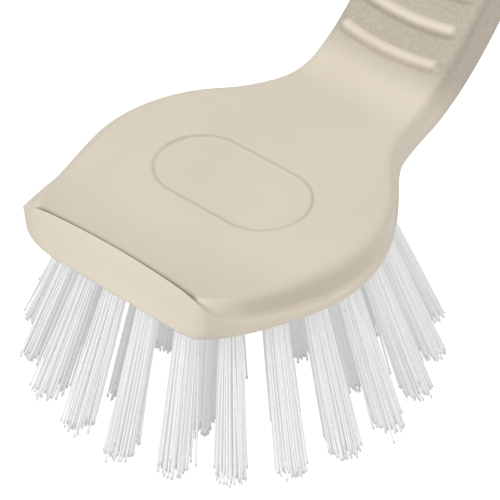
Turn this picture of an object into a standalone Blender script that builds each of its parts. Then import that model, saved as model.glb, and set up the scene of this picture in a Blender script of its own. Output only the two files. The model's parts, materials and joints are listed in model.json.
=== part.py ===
"""Dish brush: one moulded body with a scraper, and tufts of bristle, held in their holes by flat wire anchors.

The body is worked out on a straight, flat plan: s runs from the head's centre towards the handle's end, y is
to the left, and n is the height over the deck. A spine curve then bends the neck and the handle upwards.
Lengths are in metres, and +Z is up. The brush stands on its bristle tips at z = 0.
"""

import math

import bmesh
import bpy
import numpy as np
from mathutils import Vector

# Head
deck_radius = 0.0299
flange_width = 0.0015
rim_offset = 0.0023
head_depth = 0.0070
deck_edge_round = 0.0022
rim_height = 0.0014
rim_width = 0.0022
wall_run = 0.00025
fence_foot = 0.0005
fence_land = 0.00022

# Scraper blade along the front
scraper_setback = 0.0011
scraper_bow = 0.0014
scraper_rise = 0.0032
scraper_drop = 0.0005
scraper_width_share = 0.68153
scraper_face_width_share = 0.49363
scraper_foot_lead = 0.0001
scraper_foot_width_share = 0.50318
scraper_foot_round = 0.0012
blade_edge_drop = 0.00015
crease_gap = 0.00105
crease_width_share = 0.62207
crease_depth = 0.00085
crease_edge_round = 0.00025
ramp_start = 0.0140
ramp_rise = 0.0026

# Bare oval recess on the deck
oval_half_straight = 0.0073
oval_radius = 0.0093
oval_depth = 0.0004
oval_draft = 0.0003

# Neck and handle
neck_lead = 0.0011
neck_bend = 0.0270
neck_angle = math.radians(46)
neck_pull = 0.0025
rise_length = 0.0060
shoulder_bend = 0.0560
grip_angle = math.radians(13)
tail_bend = 0.0900
tail_length = 0.0330
handle_reach = 0.2320
neck_depth = 0.0084
tail_depth = 0.0074
neck_half_width = 0.0134
waist_half_width = 0.0112
grip_half_width = 0.0130
tail_half_width = 0.0112
waist_lead = 0.0310
side_flare = 0.0008
side_foot_height = 0.0015
neck_edge_round = 0.0026
base_round = 0.0005
end_round = 0.0115
end_fan = 0.0030
thumb_dish = 0.0003
handle_crown = 0.0010
crown_run = 0.0400
channel_depth = 0.0032
channel_lead = 0.0130
channel_run = 0.0160
channel_end_land = 0.0330
channel_draft = 0.0006

# Thumb ribs across the neck
rib_count = 5
rib_lead = 0.0160
rib_pitch = 0.0074
rib_half_length = 0.0118
rib_radius = 0.0017
rib_proud = 0.00115
rib_bow = 0.0011

# Hanging hole
hang_centre_land = 0.0150
hang_half_straight = 0.0050
hang_radius = 0.0042
cut_overrun = 0.0020

# Bristle tufts: rows from the outside inwards
bristle_height = 0.0310
hole_radius = 0.0022
hole_sides = 12
plug_length = 0.0034
tuft_fit = 0.0003
strand_inset = 0.00011
tuft_flare = 1.6
tip_cut = 0.0005
tip_ragged = 0.0012
row_inset = (0.0054, 0.0134, 0.0224)
row_splay = (0.0120, 0.0085, 0.0038)
row_count = (22, 10, 5)
row_turn_shares = (0.5, 0.25, 0.5)

# Wire anchor in each outer hole
anchor_length = 0.0030
anchor_thickness = 0.0005
anchor_height = 0.0012

# Finish
cream = (0.69, 0.62, 0.52)
cream_roughness = 0.42
nylon = (0.86, 0.86, 0.86)
steel = (0.62, 0.61, 0.58)
strand_roughness = 0.35
soft_edge_angle = math.radians(40)

# Shares that shape the outlines, of the deck's or the rim's radius
tip_share = 0.25
deck_corner_shares = ((-0.987, 0.746), (-0.568, 0.884), (-0.272, 0.9623))
rim_corner_shares = ((-0.9744, 0.7987), (-0.5495, 0.9329), (-0.2502, 0.9847))
foot_corner_shares = ((-0.984, 0.573), (-0.924, 0.621), (-0.5100, 0.9180))
neck_top_shares = ((0.7071, 0.7071), (0.84, 0.574))
neck_rim_shares = ((0.4732, 0.8407), (0.8599, 0.6051))
neck_blend_share = 0.30
fence_fall_share = 0.50
roll_start_share = 0.50
handle_width_shares = (0.38793, 0.625, 0.9181)
deck_row_shares = (0.30, 0.56, 0.80, 0.94)
wall_share = 0.28
foot_share = 0.45
land_share = 0.20
roll_drop_shares = (0.78, 0.60, 0.85)
edge_share = 0.70
side_row_shares = (0.30, 0.60, 0.85, 1)
belly_shares = (0.50, 0.12)
belly_drop_share = 0.72
foot_round_share = 0.80

rim_radius = deck_radius + flange_width
scraper_reach = rim_radius - scraper_setback
scraper_half_width = rim_radius * scraper_width_share
scraper_face_half_width = rim_radius * scraper_face_width_share
scraper_foot_reach = rim_radius + scraper_foot_lead
scraper_foot_half_width = rim_radius * scraper_foot_width_share
crease_half_width = deck_radius * crease_width_share
neck_start = deck_radius + neck_lead
waist_from = neck_start + waist_lead
waist_at, grip_at, tail_at = (handle_reach * share for share in handle_width_shares)
channel_start = neck_start + channel_lead
rib_first = neck_start + rib_lead
ribs_end = rib_first + rib_count * rib_pitch
deck_z = bristle_height + head_depth
hole_depth = plug_length + 2 * tuft_fit + anchor_height
tip_spread = math.sqrt(3) / 2 * (hole_radius - tuft_fit) * tuft_flare
front_reach = rim_radius - row_inset[0] + row_splay[0] + tip_spread
head_x = (front_reach - handle_reach) / 2


def smooth(t):
    """Eases from 0 to 1 with level ends."""
    t = np.clip(t, 0, 1)
    return t * t * (3 - 2 * t)


def bezier(p0, p1, p2, p3, t):
    """Cubic curve through p0 and p3, pulled towards p1 and p2."""
    t = np.asarray(t)[:, None]
    points = [np.asarray(p, float) for p in (p0, p1, p2, p3)]
    weights = ((1 - t) ** 3, 3 * t * (1 - t) ** 2, 3 * t * t * (1 - t), t ** 3)
    return sum(w * p for w, p in zip(weights, points))


def arc(centre_s, radius, start, end, t):
    """Points of a circle in plan, by angle from +s."""
    a = start + (end - start) * np.asarray(t)
    return np.stack([centre_s + radius * np.cos(a), radius * np.sin(a)], -1)


def slope(s):
    """Angle of the spine over the level: the neck bends up, the shoulder and the tail level out again."""
    rise_end = neck_start + neck_bend + rise_length
    up = neck_angle * (1 - (1 - np.clip((s - neck_start) / neck_bend, 0, 1)) ** 2)
    shoulder = (neck_angle - grip_angle) * smooth((s - rise_end) / shoulder_bend)
    tail = grip_angle * smooth((s - handle_length() + tail_length + tail_bend) / tail_bend)
    return up - shoulder - tail


def handle_length():
    """Length of the spine that brings the handle's end to its reach."""
    return handle_reach + spine_slack


def spine_table(length):
    """Places and slopes along the spine, from the head's centre to the handle's end."""
    s = np.linspace(0, length, 801)
    a = slope(s)
    step = s[1] - s[0]
    mid = (a[1:] + a[:-1]) / 2
    x = np.concatenate([[0], np.cumsum(np.cos(mid) * step)])
    z = np.concatenate([[0], np.cumsum(np.sin(mid) * step)])
    return s, x, z, a


spine_slack = 0
for _ in range(6):
    spine_slack += handle_reach - spine_table(handle_length())[1][-1]
SPINE = spine_table(handle_length())


def bend(points):
    """Takes (s, y, n) points of the straight plan to their places on the real brush."""
    points = np.asarray(points, float)
    s, y, n = points[..., 0], points[..., 1], points[..., 2]
    table_s, table_x, table_z, table_a = SPINE
    x = np.where(s < 0, s, np.interp(s, table_s, table_x))
    z = np.where(s < 0, 0, np.interp(s, table_s, table_z))
    a = np.where(s < 0, 0, np.interp(s, table_s, table_a))
    return np.stack([head_x + x - np.sin(a) * n, y, deck_z + z + np.cos(a) * n], -1)


def depth(s):
    """Thickness of the body, from its top to its underside."""
    grow = (neck_depth - head_depth) * smooth((s - neck_start) / neck_bend)
    thin = (neck_depth - tail_depth) * smooth((s - grip_at) / (tail_at - grip_at))
    return head_depth + grow - thin


def half_width(s):
    """Half width of the handle's top: a waist past the ribs, a fuller grip and a slimmer tail."""
    waist = (waist_half_width - neck_half_width) * smooth((s - waist_from) / (waist_at - waist_from))
    grip = (grip_half_width - waist_half_width) * smooth((s - waist_at) / (grip_at - waist_at))
    tail = (tail_half_width - grip_half_width) * smooth((s - grip_at) / (tail_at - grip_at))
    return neck_half_width + waist + grip + tail


def ridge_reach(y):
    """How far the blade's edge stands in front of the head's centre."""
    return scraper_reach + scraper_bow * (y / scraper_half_width) ** 2


def top(s, y, edge):
    """Height of the top: the ramp up to the blade, the level deck and the handle's dish and crown."""
    ramp_end = scraper_reach - crease_gap
    ramp = ramp_rise * np.clip((-s - ramp_start) / (ramp_end - ramp_start), 0, None) ** 2
    return ramp + swell(s) * (1 - (y / np.maximum(edge, deck_edge_round)) ** 2)


def swell(s):
    """Height of the handle's middle over its edges: a dish for the thumb, a crown at the grip, a flat tail."""
    dish = thumb_dish * smooth((s - neck_start) / neck_bend)
    crown = (handle_crown + thumb_dish) * smooth((s - ribs_end) / crown_run)
    flat = handle_crown * smooth((s - handle_length() + tail_length + tail_bend) / tail_bend)
    return crown - dish - flat


def channel(s):
    """Depth of the hollow under the handle."""
    rise = smooth((s - channel_start) / channel_run)
    fall = smooth((handle_length() - channel_end_land - s) / channel_run)
    return channel_depth * rise * fall


def mix(a, b, t):
    """Point or value between a and b."""
    return a + (b - a) * t


def oval_edge(inset, t_front, t_corner, t_side):
    """Left half of the recess's outline, column by column, from its front round to its back."""
    radius = oval_radius - inset
    quarter = radius * math.pi / 2
    run = t_side * (quarter + oval_half_straight)
    turn = np.minimum(run / quarter, 1) * math.pi / 2
    back = np.clip((run - quarter) / oval_half_straight, 0, 1)
    front = np.stack([np.full_like(t_front, -radius), oval_half_straight * t_front], -1)
    corner = t_corner * math.pi / 2
    first = np.stack([-radius * np.cos(corner), oval_half_straight + radius * np.sin(corner)], -1)
    second = np.stack([
        radius * np.sin(turn),
        oval_half_straight * (1 - back) + radius * np.sin(math.pi / 2 - turn),
    ], -1)
    return np.concatenate([front, first, second])


def outlines():
    """Left half outlines, column by column, from the front's middle round to the handle's end."""
    t_front = np.linspace(0, 1, 7)[:-1]
    t_corner = np.linspace(0, 1, 11)[:-1]
    t_side = np.linspace(0, 1, 13)
    t_neck = np.linspace(0, 1, 10)[1:-1]
    t_cap = np.linspace(0, 1, 8)
    length = handle_length()
    cap_start = length - end_round

    to_tip = np.minimum(t_corner / tip_share, 1)
    back = np.clip((t_corner - tip_share) / (1 - tip_share), 0, 1)
    y_front = scraper_face_half_width * t_front
    y_crease = mix(scraper_face_half_width, crease_half_width, to_tip)
    y_ridge = mix(scraper_face_half_width, scraper_half_width, to_tip)
    before_tip = to_tip[:, None] < 1
    deck = [np.stack([crease_gap - ridge_reach(y_front), y_front], -1)]
    rim = [np.stack([-ridge_reach(y_front), y_front], -1)]
    foot = [np.stack([np.full_like(t_front, -scraper_foot_reach), scraper_foot_half_width * t_front], -1)]

    deck_points = [np.array(p) * deck_radius for p in deck_corner_shares]
    rim_points = [np.array(p) * rim_radius for p in rim_corner_shares]
    foot_points = [np.array(p) * rim_radius for p in foot_corner_shares]
    crease_end = (crease_gap - ridge_reach(crease_half_width), crease_half_width)
    tip = (-ridge_reach(scraper_half_width), scraper_half_width)
    foot_front = np.array((-scraper_foot_reach, scraper_foot_half_width))
    crease = np.stack([crease_gap - ridge_reach(y_crease), y_crease], -1)
    ridge = np.stack([-ridge_reach(y_ridge), y_ridge], -1)
    deck.append(np.where(before_tip, crease, bezier(crease_end, *deck_points, back)))
    rim.append(np.where(before_tip, ridge, bezier(tip, *rim_points, back)))
    foot_edge = mix(foot_front, foot_points[0], to_tip[:, None])
    foot.append(np.where(before_tip, foot_edge, bezier(*foot_points, rim_points[2], back)))

    deck_from = math.atan2(deck_points[2][1], deck_points[2][0])
    neck_from = np.array(neck_top_shares[0]) * deck_radius
    deck.append(arc(0, deck_radius, deck_from, math.atan2(neck_from[1], neck_from[0]), t_side))
    rim_from = math.atan2(rim_points[2][1], rim_points[2][0] + rim_offset)
    rim_neck = np.array(neck_rim_shares[0]) * rim_radius
    side = arc(-rim_offset, rim_radius, rim_from, math.atan2(rim_neck[1], rim_neck[0] + rim_offset), t_side)
    rim.append(side)
    foot.append(side)

    neck_end = (neck_start + neck_bend * neck_blend_share, neck_half_width)
    top_bend = np.array(neck_top_shares[1]) * deck_radius
    deck.append(bezier(neck_from, top_bend, (neck_start, neck_half_width), neck_end, t_neck))
    rim_end = (neck_end[0], neck_half_width + side_flare)
    rim_bend = np.array(neck_rim_shares[1]) * rim_radius
    neck_side = bezier(rim_neck, rim_bend, (neck_start - neck_pull, neck_half_width), rim_end, t_neck)
    rim.append(neck_side)
    foot.append(neck_side)

    ribbed = np.linspace(neck_end[0], ribs_end, 10)[:-1]
    plain = np.linspace(ribs_end, cap_start, 17)[:-1]
    s = np.concatenate([ribbed, plain])
    deck.append(np.stack([s, half_width(s)], -1))
    rim.append(np.stack([s, half_width(s) + side_flare], -1))
    foot.append(rim[-1])

    turn = t_cap * math.pi / 2
    narrow = np.sin(math.pi / 2 - turn)
    wide = half_width(cap_start)
    deck.append(np.stack([cap_start + (end_round - side_flare) * np.sin(turn), wide * narrow], -1))
    rim.append(np.stack([cap_start + end_round * np.sin(turn), (wide + side_flare) * narrow], -1))
    foot.append(rim[-1])

    head = len(t_front) + len(t_corner) + len(t_side)
    beyond = np.concatenate([
        mix(oval_radius, neck_end[0], (t_neck - t_neck[0]) / (1 - t_neck[0])),
        s,
        mix(cap_start, cap_start + end_fan, t_cap),
    ])
    beyond = np.stack([beyond, np.zeros_like(beyond)], -1)
    lip = np.concatenate([oval_edge(0, t_front, t_corner, t_side), beyond])
    floor = np.concatenate([oval_edge(oval_draft, t_front, t_corner, t_side), beyond])
    middle = np.concatenate([
        np.stack([mix(-oval_radius + oval_draft, oval_radius - oval_draft, np.linspace(0, 1, head)),
                  np.zeros(head)], -1),
        beyond,
    ])
    fall = (1 + fence_fall_share) * back - fence_fall_share * back ** 2
    fence = np.concatenate([
        np.full(len(t_front), scraper_rise),
        mix(scraper_rise - scraper_drop * to_tip ** 2, rim_height - head_depth, fall),
        np.zeros(len(middle) - len(t_front) - len(t_corner)),
    ])
    corner = np.concatenate([
        np.zeros(len(t_front)),
        t_corner,
        np.ones(len(middle) - len(t_front) - len(t_corner)),
    ])
    sink = np.concatenate([np.full(head, oval_depth), np.zeros(len(beyond))])
    edges = [np.concatenate(parts) for parts in (deck, rim, foot)]
    neck = np.concatenate([np.zeros(head), smooth(t_neck), np.ones(len(s) + len(t_cap))])
    return (*edges, lip, floor, middle, fence, corner, sink, neck)


def body_rows():
    """Rows of (s, y, n) points, from the top's centre line over the side to the underside's centre line."""
    deck, rim, foot, lip, floor, middle, fence, corner, sink, neck = outlines()
    under = -depth(foot[:, 0])
    rim_top = rim_height + under
    fence = np.where(corner < 1, fence, rim_top)
    gap = np.linalg.norm(rim - deck, axis=1)
    inward = lip - deck
    inward /= np.linalg.norm(inward, axis=1)[:, None]
    roll = smooth((corner - roll_start_share * tip_share) / tip_share)
    radius = mix(mix(crease_edge_round, deck_edge_round, roll), neck_edge_round, neck)
    edge_n = top(deck[:, 0], deck[:, 1], deck[:, 1])
    edge_wide = np.maximum(deck[:, 1], deck_edge_round)

    def place(plan, n):
        return np.column_stack([plan, n])

    rows = [
        place(middle, top(middle[:, 0], middle[:, 1], edge_wide) - sink),
        place(floor, top(floor[:, 0], floor[:, 1], edge_wide) - sink),
    ]
    shoulder = deck + inward * radius[:, None]
    for share in (0, *deck_row_shares, 1):
        plan = mix(lip, shoulder, share)
        rows.append(place(plan, top(plan[:, 0], plan[:, 1], edge_wide)))
    rows.append(place(mix(shoulder, deck, edge_share), edge_n - (1 - edge_share) * radius))
    rows.append(place(deck, edge_n - radius))

    wall_drop, foot_drop, land_drop = roll_drop_shares
    outward = (rim - deck) / gap[:, None]
    valley = mix(edge_n - crease_depth, mix(edge_n, fence, wall_drop), roll)
    wall = mix(wall_run, wall_share * gap, roll)
    inner_foot = mix(fence_foot, foot_share * gap, roll)
    inner_top = mix(fence_land, land_share * gap, roll)
    ledge = (
        place(deck + outward * wall[:, None], valley),
        place(rim - outward * inner_foot[:, None], mix(valley, fence, foot_drop * roll)),
        place(rim - outward * inner_top[:, None], mix(fence, mix(valley, fence, land_drop), roll)),
        place(rim, fence - blade_edge_drop),
    )
    for points, share in zip(ledge, side_row_shares):
        side = place(mix(deck, rim, share), mix(edge_n - radius, under + side_foot_height, share))
        rows.append(mix(points, side, neck[:, None]))

    base = mix(scraper_foot_round, base_round, np.maximum(corner, neck))
    belly = mix(rim, foot, mix(*belly_shares, smooth(corner / tip_share))[:, None])
    belly_n = mix(fence - blade_edge_drop, under + base, belly_drop_share)
    rows.append(place(belly, belly_n))
    rows.append(place(foot, under + base))

    hollow = channel(middle[:, 0])
    foot = foot - outward * (foot_round_share * base)[:, None]
    run = np.linalg.norm(middle - foot, axis=1)
    slant = (rim_width + channel_draft * hollow / channel_depth) / run
    rows.append(place(foot, under))
    rows.append(place(mix(foot, middle, (rim_width / run)[:, None]), under))
    rows.append(place(mix(foot, middle, slant[:, None]), under + hollow))
    rows.append(place(middle, -depth(middle[:, 0]) + hollow))
    return np.array(rows)


def finished(name, mesh):
    """Mesh data from a working mesh, with every face turned outwards."""
    mesh.normal_update()
    bmesh.ops.recalc_face_normals(mesh, faces=mesh.faces)
    data = bpy.data.meshes.new(name)
    mesh.to_mesh(data)
    mesh.free()
    return data


def grid_mesh(name, rows):
    """Closed mesh of a left half given as rows of columns, and of its mirror image on the right."""
    mesh = bmesh.new()
    found = {}

    def vertex(point):
        key = tuple(point)
        if key not in found:
            found[key] = mesh.verts.new(point)
        return found[key]

    for side, points in ((1, bend(rows)), (-1, bend(rows) * (1, -1, 1))):
        for upper, lower in zip(points, points[1:]):
            for k in range(len(upper) - 1):
                loop = [vertex(p) for p in (upper[k], upper[k + 1], lower[k + 1], lower[k])[::side]]
                loop = list(dict.fromkeys(loop))
                if len(loop) > 2:
                    mesh.faces.new(loop)
    return finished(name, mesh)


def prism_mesh(name, outline, low, high):
    """Closed prism over a closed (s, y) outline, between two heights of the straight plan."""
    mesh = bmesh.new()
    ring = bend(np.column_stack([outline, np.full(len(outline), low)]))
    lid = bend(np.column_stack([outline, np.full(len(outline), high)]))
    bottom = [mesh.verts.new(p) for p in ring]
    upper = [mesh.verts.new(p) for p in lid]
    mesh.faces.new(bottom)
    mesh.faces.new(upper)
    for i in range(len(bottom)):
        mesh.faces.new((bottom[i - 1], bottom[i], upper[i], upper[i - 1]))
    return finished(name, mesh)


def stadium(centre_s, half_straight, radius, steps):
    """Closed outline with two straight sides along s and round ends."""
    turn = np.linspace(0, math.pi, steps)
    end = np.stack([half_straight + radius * np.sin(turn), radius * np.cos(turn)], -1)
    return np.concatenate([end, -end]) + (centre_s, 0)


def add_part(name, data, material):
    """Puts a finished mesh into the scene under its own name."""
    part = bpy.data.objects.new(name, data)
    data.materials.append(material)
    bpy.context.collection.objects.link(part)
    return part


def add_cutter(target, name, data, operation):
    """Cuts a shape out of the target, or joins it on, and leaves the shape itself out of the model."""
    cutter = bpy.data.objects.new(name, data)
    bpy.context.collection.objects.link(cutter)
    cutter.hide_render = True
    cutter.display_type = "WIRE"
    modifier = target.modifiers.new(name, "BOOLEAN")
    modifier.operation = operation
    modifier.object = cutter
    modifier.solver = "EXACT"
    return cutter


def principled(name, colour, roughness, metallic):
    """Plain material with the finish of one sub-part."""
    material = bpy.data.materials.new(name)
    material.use_nodes = True
    shader = material.node_tree.nodes["Principled BSDF"]
    shader.inputs["Base Color"].default_value = (*colour, 1)
    shader.inputs["Roughness"].default_value = roughness
    shader.inputs["Metallic"].default_value = metallic
    return material


def tuft_places():
    """Mouth and direction of each tuft's hole, row by row from the outside inwards."""
    places = []
    for inset, splay, count, turn in zip(row_inset, row_splay, row_count, row_turn_shares):
        radius = rim_radius - inset
        lean = math.atan2(splay, bristle_height)
        for i in range(count):
            a = math.tau * (i + turn) / count
            mouth = Vector((head_x - radius * math.cos(a), radius * math.sin(a), bristle_height))
            out = math.sin(lean)
            axis = Vector((-math.cos(a) * out, math.sin(a) * out, -math.cos(lean)))
            places.append((mouth, axis))
    return places


def across(axis):
    """Two directions square to an axis."""
    side = axis.cross(Vector((0, 1, 0))).normalized()
    return side, axis.cross(side)


def holes_mesh(places):
    """All blind holes as one cutter of separate round plugs."""
    mesh = bmesh.new()
    for mouth, axis in places:
        u, v = across(axis)
        rings = []
        for along in (cut_overrun, -hole_depth):
            centre = mouth + axis * along
            angles = [math.tau * k / hole_sides for k in range(hole_sides)]
            rings.append([
                mesh.verts.new(centre + (u * math.cos(a) + v * math.sin(a)) * hole_radius) for a in angles
            ])
        low, high = rings
        mesh.faces.new(low)
        mesh.faces.new(high)
        for k in range(hole_sides):
            mesh.faces.new((low[k - 1], low[k], high[k], high[k - 1]))
    return finished("tuft_holes", mesh)


def tuft_mesh(name, mouth, axis, root, seed):
    """Bundle of three-sided strands that fan out from one packed root of length root."""
    rng = np.random.default_rng(seed)
    u, v = across(axis)
    radius = hole_radius - tuft_fit
    length = mouth.z / -axis.z
    mesh = bmesh.new()
    nodes = {}
    for i in range(-2, 3):
        for j in range(-2, 3):
            if abs(i + j) <= 2:
                p = u * (i + j / 2) + v * (j * math.sqrt(3) / 2)
                nodes[i, j] = mesh.verts.new(mouth + p * radius / 2)
    strands = []
    for i, j in nodes:
        if (i + 1, j) in nodes and (i, j + 1) in nodes:
            strands.append(mesh.faces.new((nodes[i, j], nodes[i + 1, j], nodes[i, j + 1])))
        if (i - 1, j) in nodes and (i, j - 1) in nodes:
            mesh.faces.new((nodes[i, j], nodes[i - 1, j], nodes[i, j - 1]))
    border = [e for e in mesh.edges if len(e.link_faces) == 1]
    grown = bmesh.ops.extrude_edge_only(mesh, edges=border)["geom"]
    back = [g for g in grown if isinstance(g, bmesh.types.BMVert)]
    bmesh.ops.translate(mesh, verts=back, vec=-axis * root)
    bmesh.ops.contextual_create(mesh, geom=[g for g in grown if isinstance(g, bmesh.types.BMEdge)])
    bmesh.ops.inset_individual(mesh, faces=strands, thickness=strand_inset)
    tips = bmesh.ops.extrude_discrete_faces(mesh, faces=strands)["faces"]
    for tip in tips:
        height = max(0, rng.uniform(-tip_cut, tip_ragged))
        offset = tip.calc_center_median() - mouth
        run = axis + offset * (tuft_flare - 1) / length
        for vert in tip.verts:
            vert.co += run * ((vert.co.z - height) / -run.z)
    return finished(name, mesh)


def anchor_mesh(name, mouth, axis):
    """Short flat wire across the end of a hole, behind the tuft's root."""
    u, v = across(axis)
    centre = mouth - axis * (plug_length + tuft_fit + anchor_height / 2)
    mesh = bmesh.new()
    bmesh.ops.create_cube(mesh, size=1)
    for vert in mesh.verts:
        x, y, z = vert.co
        vert.co = centre + v * (x * anchor_length) + u * (y * anchor_thickness) + axis * (z * anchor_height)
    return finished(name, mesh)


def rib_mesh(number):
    """Rounded bar across the neck, bowed a little towards the head."""
    at = rib_first + number * rib_pitch
    across_shares = np.sin(np.linspace(-math.pi / 2, math.pi / 2, 11))
    turn = np.linspace(0, math.tau, 9)[:-1]
    y = across_shares * rib_half_length
    slim = np.sqrt(np.clip(1 - across_shares ** 8, 0, 1))
    lift = top(at, y, half_width(at)) + rib_proud - rib_radius
    mesh = bmesh.new()
    rings = []
    for k in range(1, len(y) - 1):
        s = at + rib_bow * (across_shares[k] ** 2 - 1) + rib_radius * slim[k] * np.cos(turn)
        n = lift[k] + rib_radius * slim[k] * np.sin(turn)
        ring = bend(np.column_stack([s, np.full_like(s, y[k]), n]))
        rings.append([mesh.verts.new(p) for p in ring])
    ends = [mesh.verts.new(bend(np.array([at, y[k], lift[k]]))) for k in (0, -1)]
    for a, b in zip(rings, rings[1:]):
        for k in range(len(a)):
            mesh.faces.new((a[k - 1], a[k], b[k], b[k - 1]))
    for ring, end in ((rings[0], ends[0]), (rings[-1], ends[1])):
        for k in range(len(ring)):
            mesh.faces.new((ring[k - 1], ring[k], end))
    return finished("rib", mesh)


def brush_body(places):
    """The moulded body with its recess, ribs, holes for the tufts and hanging hole."""
    plastic = principled("cream_plastic", cream, cream_roughness, 0)
    body = add_part("brush_body", grid_mesh("brush_body", body_rows()), plastic)
    for number in range(rib_count):
        add_cutter(body, f"rib_{number + 1}", rib_mesh(number), "UNION")
    hang = stadium(handle_length() - hang_centre_land, hang_half_straight, hang_radius, 8)
    low = -tail_depth - cut_overrun
    high = handle_crown + cut_overrun
    add_cutter(body, "hanging_hole", prism_mesh("hanging_hole", hang, low, high), "DIFFERENCE")
    add_cutter(body, "tuft_holes", holes_mesh(places), "DIFFERENCE")
    body.data.shade_smooth()
    body.data.set_sharp_from_angle(angle=soft_edge_angle)
    return body


def bristles(places):
    """One node for each tuft, and one for each anchor of the outer row."""
    white = principled("nylon_bristle", nylon, strand_roughness, 0)
    wire = principled("anchor_wire", steel, strand_roughness, 1)
    for number, (mouth, axis) in enumerate(places, 1):
        anchored = number <= row_count[0]
        root = plug_length if anchored else hole_depth - tuft_fit
        name = f"tuft_{number:02d}"
        add_part(name, tuft_mesh(name, mouth, axis, root, number), white)
        if anchored:
            name = f"anchor_{number:02d}"
            add_part(name, anchor_mesh(name, mouth, axis), wire)


for old in list(bpy.data.objects):
    bpy.data.objects.remove(old, do_unlink=True)
tufts = tuft_places()
brush_body(tufts)
bristles(tufts)
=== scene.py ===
"""Dish brush dressed for its picture: the body, the bristle tufts, the wire anchors and the studio."""

import json
import math

import bmesh
import bpy
import numpy as np
from mathutils import Matrix, Vector


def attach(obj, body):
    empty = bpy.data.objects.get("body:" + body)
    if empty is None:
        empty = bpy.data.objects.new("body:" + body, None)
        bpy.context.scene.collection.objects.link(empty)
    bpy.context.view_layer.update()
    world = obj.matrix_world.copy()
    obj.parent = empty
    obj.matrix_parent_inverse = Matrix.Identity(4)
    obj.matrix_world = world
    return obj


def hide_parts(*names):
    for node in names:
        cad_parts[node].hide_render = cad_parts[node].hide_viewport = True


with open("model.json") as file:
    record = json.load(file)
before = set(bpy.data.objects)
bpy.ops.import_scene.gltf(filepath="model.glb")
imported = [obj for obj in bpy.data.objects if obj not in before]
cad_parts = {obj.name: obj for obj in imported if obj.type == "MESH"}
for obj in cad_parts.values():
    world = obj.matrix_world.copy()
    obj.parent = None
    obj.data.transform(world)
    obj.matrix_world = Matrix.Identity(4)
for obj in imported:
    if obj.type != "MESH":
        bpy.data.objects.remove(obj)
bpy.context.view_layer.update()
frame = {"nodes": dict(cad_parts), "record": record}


# Body: one shot of cream polypropylene, with a scraper blade and a fence along the head's front, a bare
# oval recess, and a ribbed neck that rises into a handle with a hanging hole. It is a surface of outline
# columns and profile rows on a straight plan, (s, y, n), and a spine bends it upwards.

mm = 0.001
panel = next(m for m in frame["record"]["mounts"] if m["name"] == "panel")
oval_depth = 0.4 * mm
head = Vector((panel["pos_m"][0], 0, panel["pos_m"][2] + oval_depth))

deck_radius, rim_radius, rim_offset = 29.9 * mm, 31.4 * mm, 2.3 * mm
head_depth, rim_height, rim_width = 7.0 * mm, 1.4 * mm, 2.2 * mm
wall_run, fence_foot, fence_land = 0.25 * mm, 0.50 * mm, 0.22 * mm
scraper_reach, scraper_bow, scraper_rise, scraper_drop = 30.3 * mm, 1.4 * mm, 3.2 * mm, 0.5 * mm
face_half_width, scraper_half_width, tip_share = 15.5 * mm, 21.4 * mm, 0.25
foot_reach, foot_half_width, foot_round = 31.5 * mm, 15.8 * mm, 1.2 * mm
belly_round, belly_shares, belly_drop = 3.0 * mm, (0.50, 0.12), 0.72
crease_gap, crease_half_width, crease_depth = 1.05 * mm, 18.6 * mm, 0.85 * mm
ramp_start, ramp_rise = 14.0 * mm, 2.6 * mm
oval_half_straight, oval_radius, oval_draft = 7.3 * mm, 9.3 * mm, 0.7 * mm
neck_start, neck_bend, neck_pull = 31.0 * mm, 27.0 * mm, 2.5 * mm
rise_length, shoulder_bend = 6.0 * mm, 56.0 * mm
neck_angle, grip_angle = math.radians(46), math.radians(13)
tail_bend, tail_length, handle_reach = 90.0 * mm, 33.0 * mm, 232.0 * mm
neck_depth, tail_depth = 8.4 * mm, 7.4 * mm
neck_half, waist_half, grip_half, tail_half = 13.4 * mm, 11.2 * mm, 13.0 * mm, 11.2 * mm
waist_from, waist_at, grip_at, tail_at = 62.0 * mm, 90.0 * mm, 145.0 * mm, 213.0 * mm
side_flare, side_foot_height, base_round = 0.8 * mm, 1.5 * mm, 0.5 * mm
end_round, end_fan = 11.5 * mm, 3.0 * mm
thumb_dish, handle_crown, crown_run = 0.3 * mm, 1.0 * mm, 40.0 * mm
channel_depth, channel_start, channel_run = 3.2 * mm, 44.0 * mm, 16.0 * mm
channel_end, channel_draft = 33.0 * mm, 0.6 * mm
rib_count, rib_first, rib_pitch = 5, 47.0 * mm, 7.4 * mm
rib_half_length, rib_half_width, rib_proud, rib_bow = 11.8 * mm, 1.65 * mm, 1.15 * mm, 1.1 * mm
rib_power, rib_blend = 2.4, 0.16 * mm
spine_points, spine_rounds = 801, 6
hole_centre, hole_half_straight, hole_end_radius, hole_lip = 15.0 * mm, 5.0 * mm, 4.2 * mm, 0.7 * mm


def ease(t):
    """Three t squared minus two t cubed: from 0 to 1 with level ends."""
    t = np.clip(t, 0, 1)
    return t * t * (3 - 2 * t)


def mix(a, b, t):
    """Straight blend: a plus t times the way to b."""
    return a + (b - a) * t


def slope(s, length):
    """Spine angle: a quadratic ease up at the neck, less smooth steps at the shoulder and at the tail."""
    up = neck_angle * (1 - (1 - np.clip((s - neck_start) / neck_bend, 0, 1)) ** 2)
    fall = ease((s - neck_start - neck_bend - rise_length) / shoulder_bend)
    shoulder = (neck_angle - grip_angle) * fall
    return up - shoulder - grip_angle * ease((s - length + tail_length + tail_bend) / tail_bend)


def spine(length):
    """Places along the spine: the running sums of the cosine and the sine of its angle, step by step."""
    s = np.linspace(0, length, spine_points)
    a = slope(s, length)
    mid, step = (a[1:] + a[:-1]) / 2, s[1]
    x = np.concatenate([[0], np.cumsum(np.cos(mid) * step)])
    z = np.concatenate([[0], np.cumsum(np.sin(mid) * step)])
    return s, x, z, a


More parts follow.
